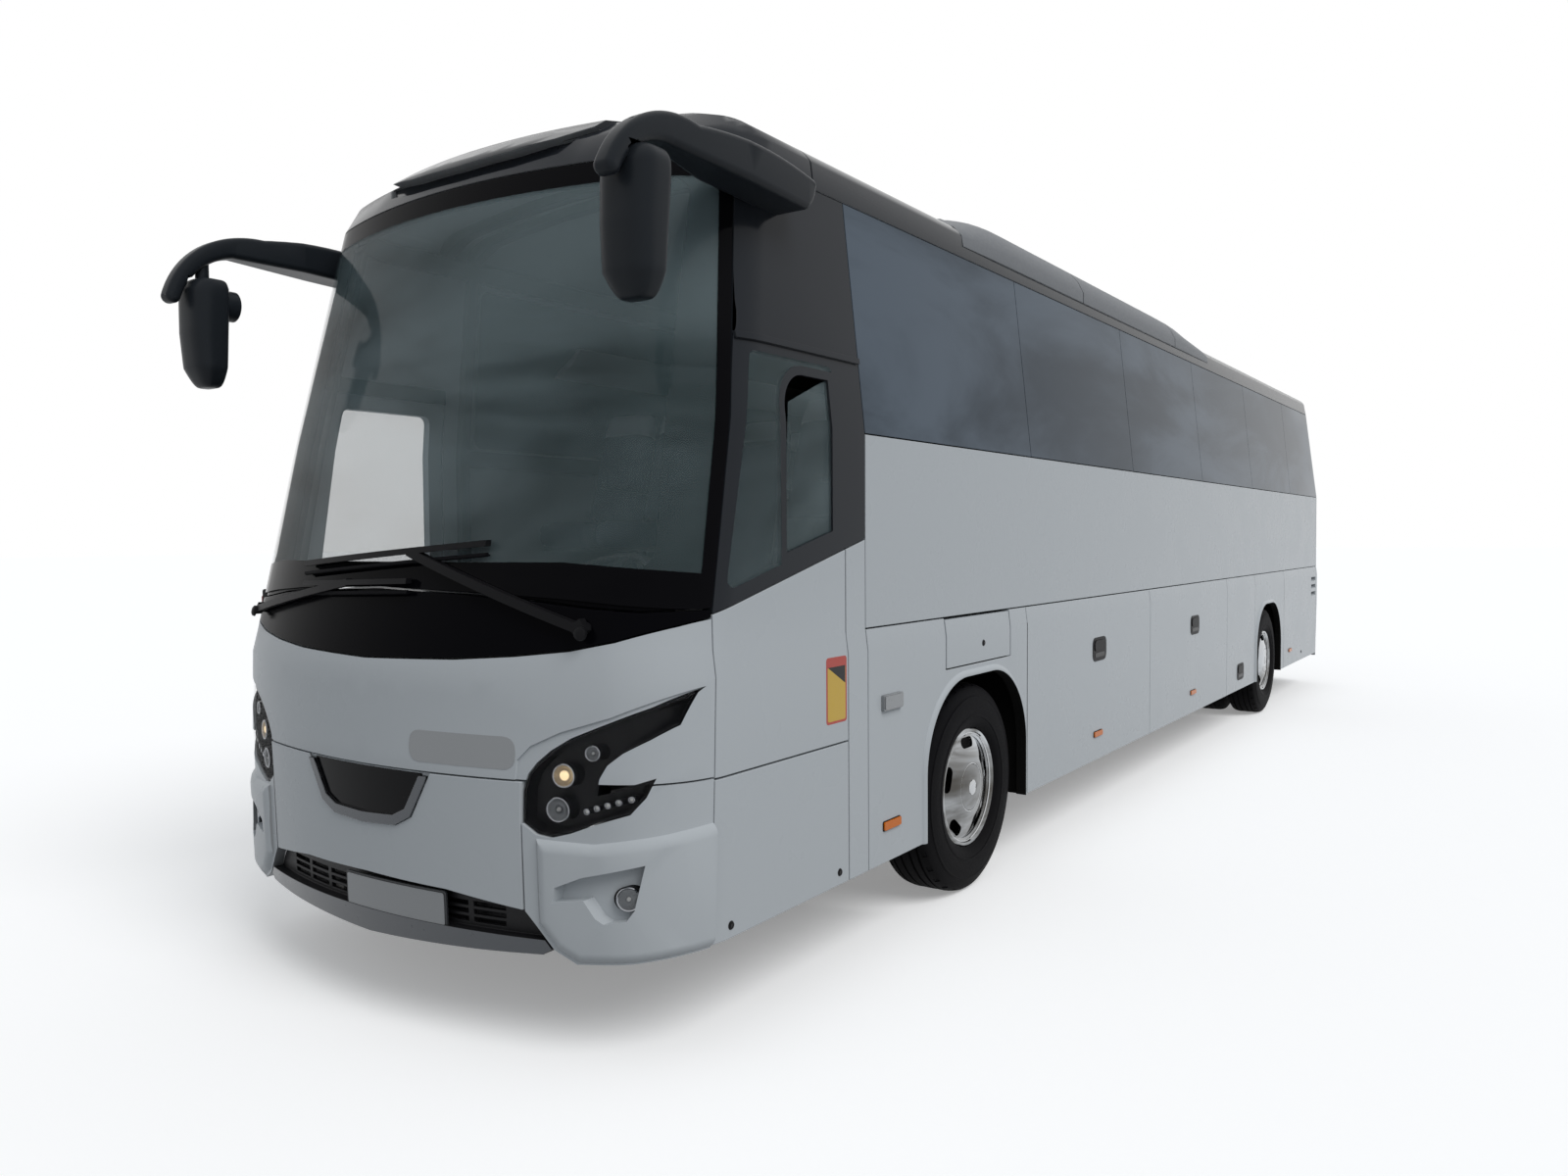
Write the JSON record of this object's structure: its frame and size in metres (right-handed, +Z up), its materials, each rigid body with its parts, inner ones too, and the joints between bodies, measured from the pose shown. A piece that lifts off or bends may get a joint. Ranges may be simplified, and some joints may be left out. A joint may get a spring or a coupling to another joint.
{
  "type": "coach bus",
  "caption": "High-floor touring coach with curved windscreen, glazed sides, roof cooler, steered front wheels, twin rear wheels, swing-out doors and lift-up luggage flaps.",
  "frame": {"origin": "on the ground, at the middle of the box round the bus", "axes": "+X to the bus's left, the front faces -Y, +Z up from the road"},
  "size_m": [2.7232, 12.4204, 3.7],
  "materials": {
    "white_paint": "gloss",
    "black_paint": "gloss",
    "dark_glass": "gloss",
    "clear_glass": "gloss",
    "black_plastic": "matte",
    "lamp": "gloss",
    "red_lamp": "gloss",
    "steel_frame": "satin",
    "floor_mat": "matte",
    "seat_cloth": "matte",
    "chrome": "polished",
    "tyre": "matte",
    "engine_iron": "rough"
  },
  "bodies": {
    "coach": {"body_frame": "steel_frame", "bumper_corners": "white_paint", "chassis_frame": "steel_frame", "dashboard": "black_plastic", "driver_seat": "seat_cloth", "engine": "engine_iron", "floor": "floor_mat", "front_axle": "steel_frame", "front_grille": "black_plastic", "front_lamps": "lamp", "front_mask": "white_paint", "luggage_bays": "steel_frame", "mirrors": "black_plastic", "passenger_seats": "seat_cloth", "rear_axle": "steel_frame", "rear_bumper": "white_paint", "rear_lamps": "red_lamp", "rear_wall": "white_paint", "roof": "black_paint", "roof_cap": "black_paint", "roof_cooler": "black_paint", "roof_hatches": "black_paint", "side_panels_left": "white_paint", "side_panels_right": "white_paint", "steering_wheel": "black_plastic", "wheel_boxes": "steel_frame", "window_frame_left": "black_paint", "window_frame_right": "black_paint", "window_glass": "dark_glass", "windscreen": "clear_glass", "windscreen_frame": "black_paint", "wipers": "black_plastic"},
    "front_door": {"front_door": "white_paint", "front_door_glass": "dark_glass"},
    "front_door_arm": {"front_door_arm": "steel_frame"},
    "mid_door": {"mid_door": "white_paint", "mid_door_glass": "dark_glass"},
    "mid_door_arm": {"mid_door_arm": "steel_frame"},
    "locker_flap_left_front": {"locker_flap_left_front": "white_paint"},
    "locker_flap_left_rear": {"locker_flap_left_rear": "white_paint"},
    "locker_flap_right_front": {"locker_flap_right_front": "white_paint"},
    "locker_flap_right_rear": {"locker_flap_right_rear": "white_paint"},
    "engine_flap_left": {"engine_flap_left": "white_paint"},
    "engine_flap_right": {"engine_flap_right": "white_paint"},
    "cab_flap_left": {"cab_flap_left": "white_paint"},
    "engine_lid": {"engine_lid": "white_paint"},
    "front_flap": {"front_flap": "white_paint", "front_badge": "black_plastic"},
    "fuel_flap": {"fuel_flap": "white_paint"},
    "knuckle_left": {"knuckle_left": "steel_frame"},
    "knuckle_right": {"knuckle_right": "steel_frame"},
    "front_wheel_left": {"front_rim_left": "chrome", "front_tyre_left": "tyre"},
    "front_wheel_right": {"front_rim_right": "chrome", "front_tyre_right": "tyre"},
    "rear_wheels_left": {"rear_rims_left": "chrome", "rear_tyres_left": "tyre"},
    "rear_wheels_right": {"rear_rims_right": "chrome", "rear_tyres_right": "tyre"}
  },
  "joints": [
    {"name": "steer_left", "type": "hinge", "parent": "coach", "child": "knuckle_left", "pos_m": [0.93, -3.56, 0.522], "axis": [0, 0, 1], "range_deg": [-40, 40]},
    {"name": "steer_right", "type": "hinge", "parent": "coach", "child": "knuckle_right", "pos_m": [-0.93, -3.56, 0.522], "axis": [0, 0, 1], "range_deg": [-40, 40]},
    {"name": "front_wheel_left_spin", "type": "hinge", "parent": "knuckle_left", "child": "front_wheel_left", "pos_m": [1.1075, -3.56, 0.522], "axis": [1, 0, 0], "continuous": true},
    {"name": "front_wheel_right_spin", "type": "hinge", "parent": "knuckle_right", "child": "front_wheel_right", "pos_m": [-1.1075, -3.56, 0.522], "axis": [1, 0, 0], "continuous": true},
    {"name": "rear_wheels_left_spin", "type": "hinge", "parent": "coach", "child": "rear_wheels_left", "pos_m": [1.1075, 3.29, 0.522], "axis": [1, 0, 0], "continuous": true},
    {"name": "rear_wheels_right_spin", "type": "hinge", "parent": "coach", "child": "rear_wheels_right", "pos_m": [-1.1075, 3.29, 0.522], "axis": [1, 0, 0], "continuous": true},
    {"name": "front_door_arm_swing", "type": "hinge", "parent": "coach", "child": "front_door_arm", "pos_m": [-1.13, -5.56955, 1.24], "axis": [0, 0, 1], "range_deg": [0, 100]},
    {"name": "front_door_follow", "type": "hinge", "parent": "front_door_arm", "child": "front_door", "pos_m": [-1.13, -5.06955, 1.24], "axis": [0, 0, 1], "range_deg": [-100, 0]},
    {"name": "mid_door_arm_swing", "type": "hinge", "parent": "coach", "child": "mid_door_arm", "pos_m": [-1.13, 2.57, 1.24], "axis": [0, 0, -1], "range_deg": [0, 100]},
    {"name": "mid_door_follow", "type": "hinge", "parent": "mid_door_arm", "child": "mid_door", "pos_m": [-1.13, 2.07, 1.24], "axis": [0, 0, -1], "range_deg": [-100, 0]},
    {"name": "locker_left_front_lift", "type": "hinge", "parent": "coach", "child": "locker_flap_left_front", "pos_m": [1.2632, -1.786, 1.392], "axis": [0, -1, 0], "range_deg": [0, 90]},
    {"name": "locker_left_rear_lift", "type": "hinge", "parent": "coach", "child": "locker_flap_left_rear", "pos_m": [1.2632, 0.46601, 1.392], "axis": [0, -1, 0], "range_deg": [0, 90]},
    {"name": "locker_right_front_lift", "type": "hinge", "parent": "coach", "child": "locker_flap_right_front", "pos_m": [-1.2632, -1.786, 1.392], "axis": [0, 1, 0], "range_deg": [0, 90]},
    {"name": "locker_right_rear_lift", "type": "hinge", "parent": "coach", "child": "locker_flap_right_rear", "pos_m": [-1.2632, 0.46601, 1.392], "axis": [0, 1, 0], "range_deg": [0, 90]},
    {"name": "engine_flap_left_lift", "type": "hinge", "parent": "coach", "child": "engine_flap_left", "pos_m": [1.2632, 5, 1.392], "axis": [0, -1, 0], "range_deg": [0, 90]},
    {"name": "engine_flap_right_lift", "type": "hinge", "parent": "coach", "child": "engine_flap_right", "pos_m": [-1.2632, 5, 1.392], "axis": [0, 1, 0], "range_deg": [0, 90]},
    {"name": "cab_flap_left_lift", "type": "hinge", "parent": "coach", "child": "cab_flap_left", "pos_m": [1.275, -5.25, 0.944], "axis": [0, -1, 0], "range_deg": [0, 90]},
    {"name": "fuel_flap_lift", "type": "hinge", "parent": "coach", "child": "fuel_flap", "pos_m": [1.2643, -3.523, 1.385], "axis": [0, -1, 0], "range_deg": [0, 90]},
    {"name": "engine_lid_lift", "type": "hinge", "parent": "coach", "child": "engine_lid", "pos_m": [0, 6.21, 1.373], "axis": [1, 0, 0], "range_deg": [0, 80]},
    {"name": "front_flap_lift", "type": "hinge", "parent": "coach", "child": "front_flap", "pos_m": [0, -6.19, 0.951], "axis": [-1, 0, 0], "range_deg": [0, 80]}
  ],
  "couplings": [
    {"joint": "steer_right", "follows": "steer_left", "ratio": 1},
    {"joint": "front_door_follow", "follows": "front_door_arm_swing", "ratio": -1},
    {"joint": "mid_door_follow", "follows": "mid_door_arm_swing", "ratio": -1}
  ]
}
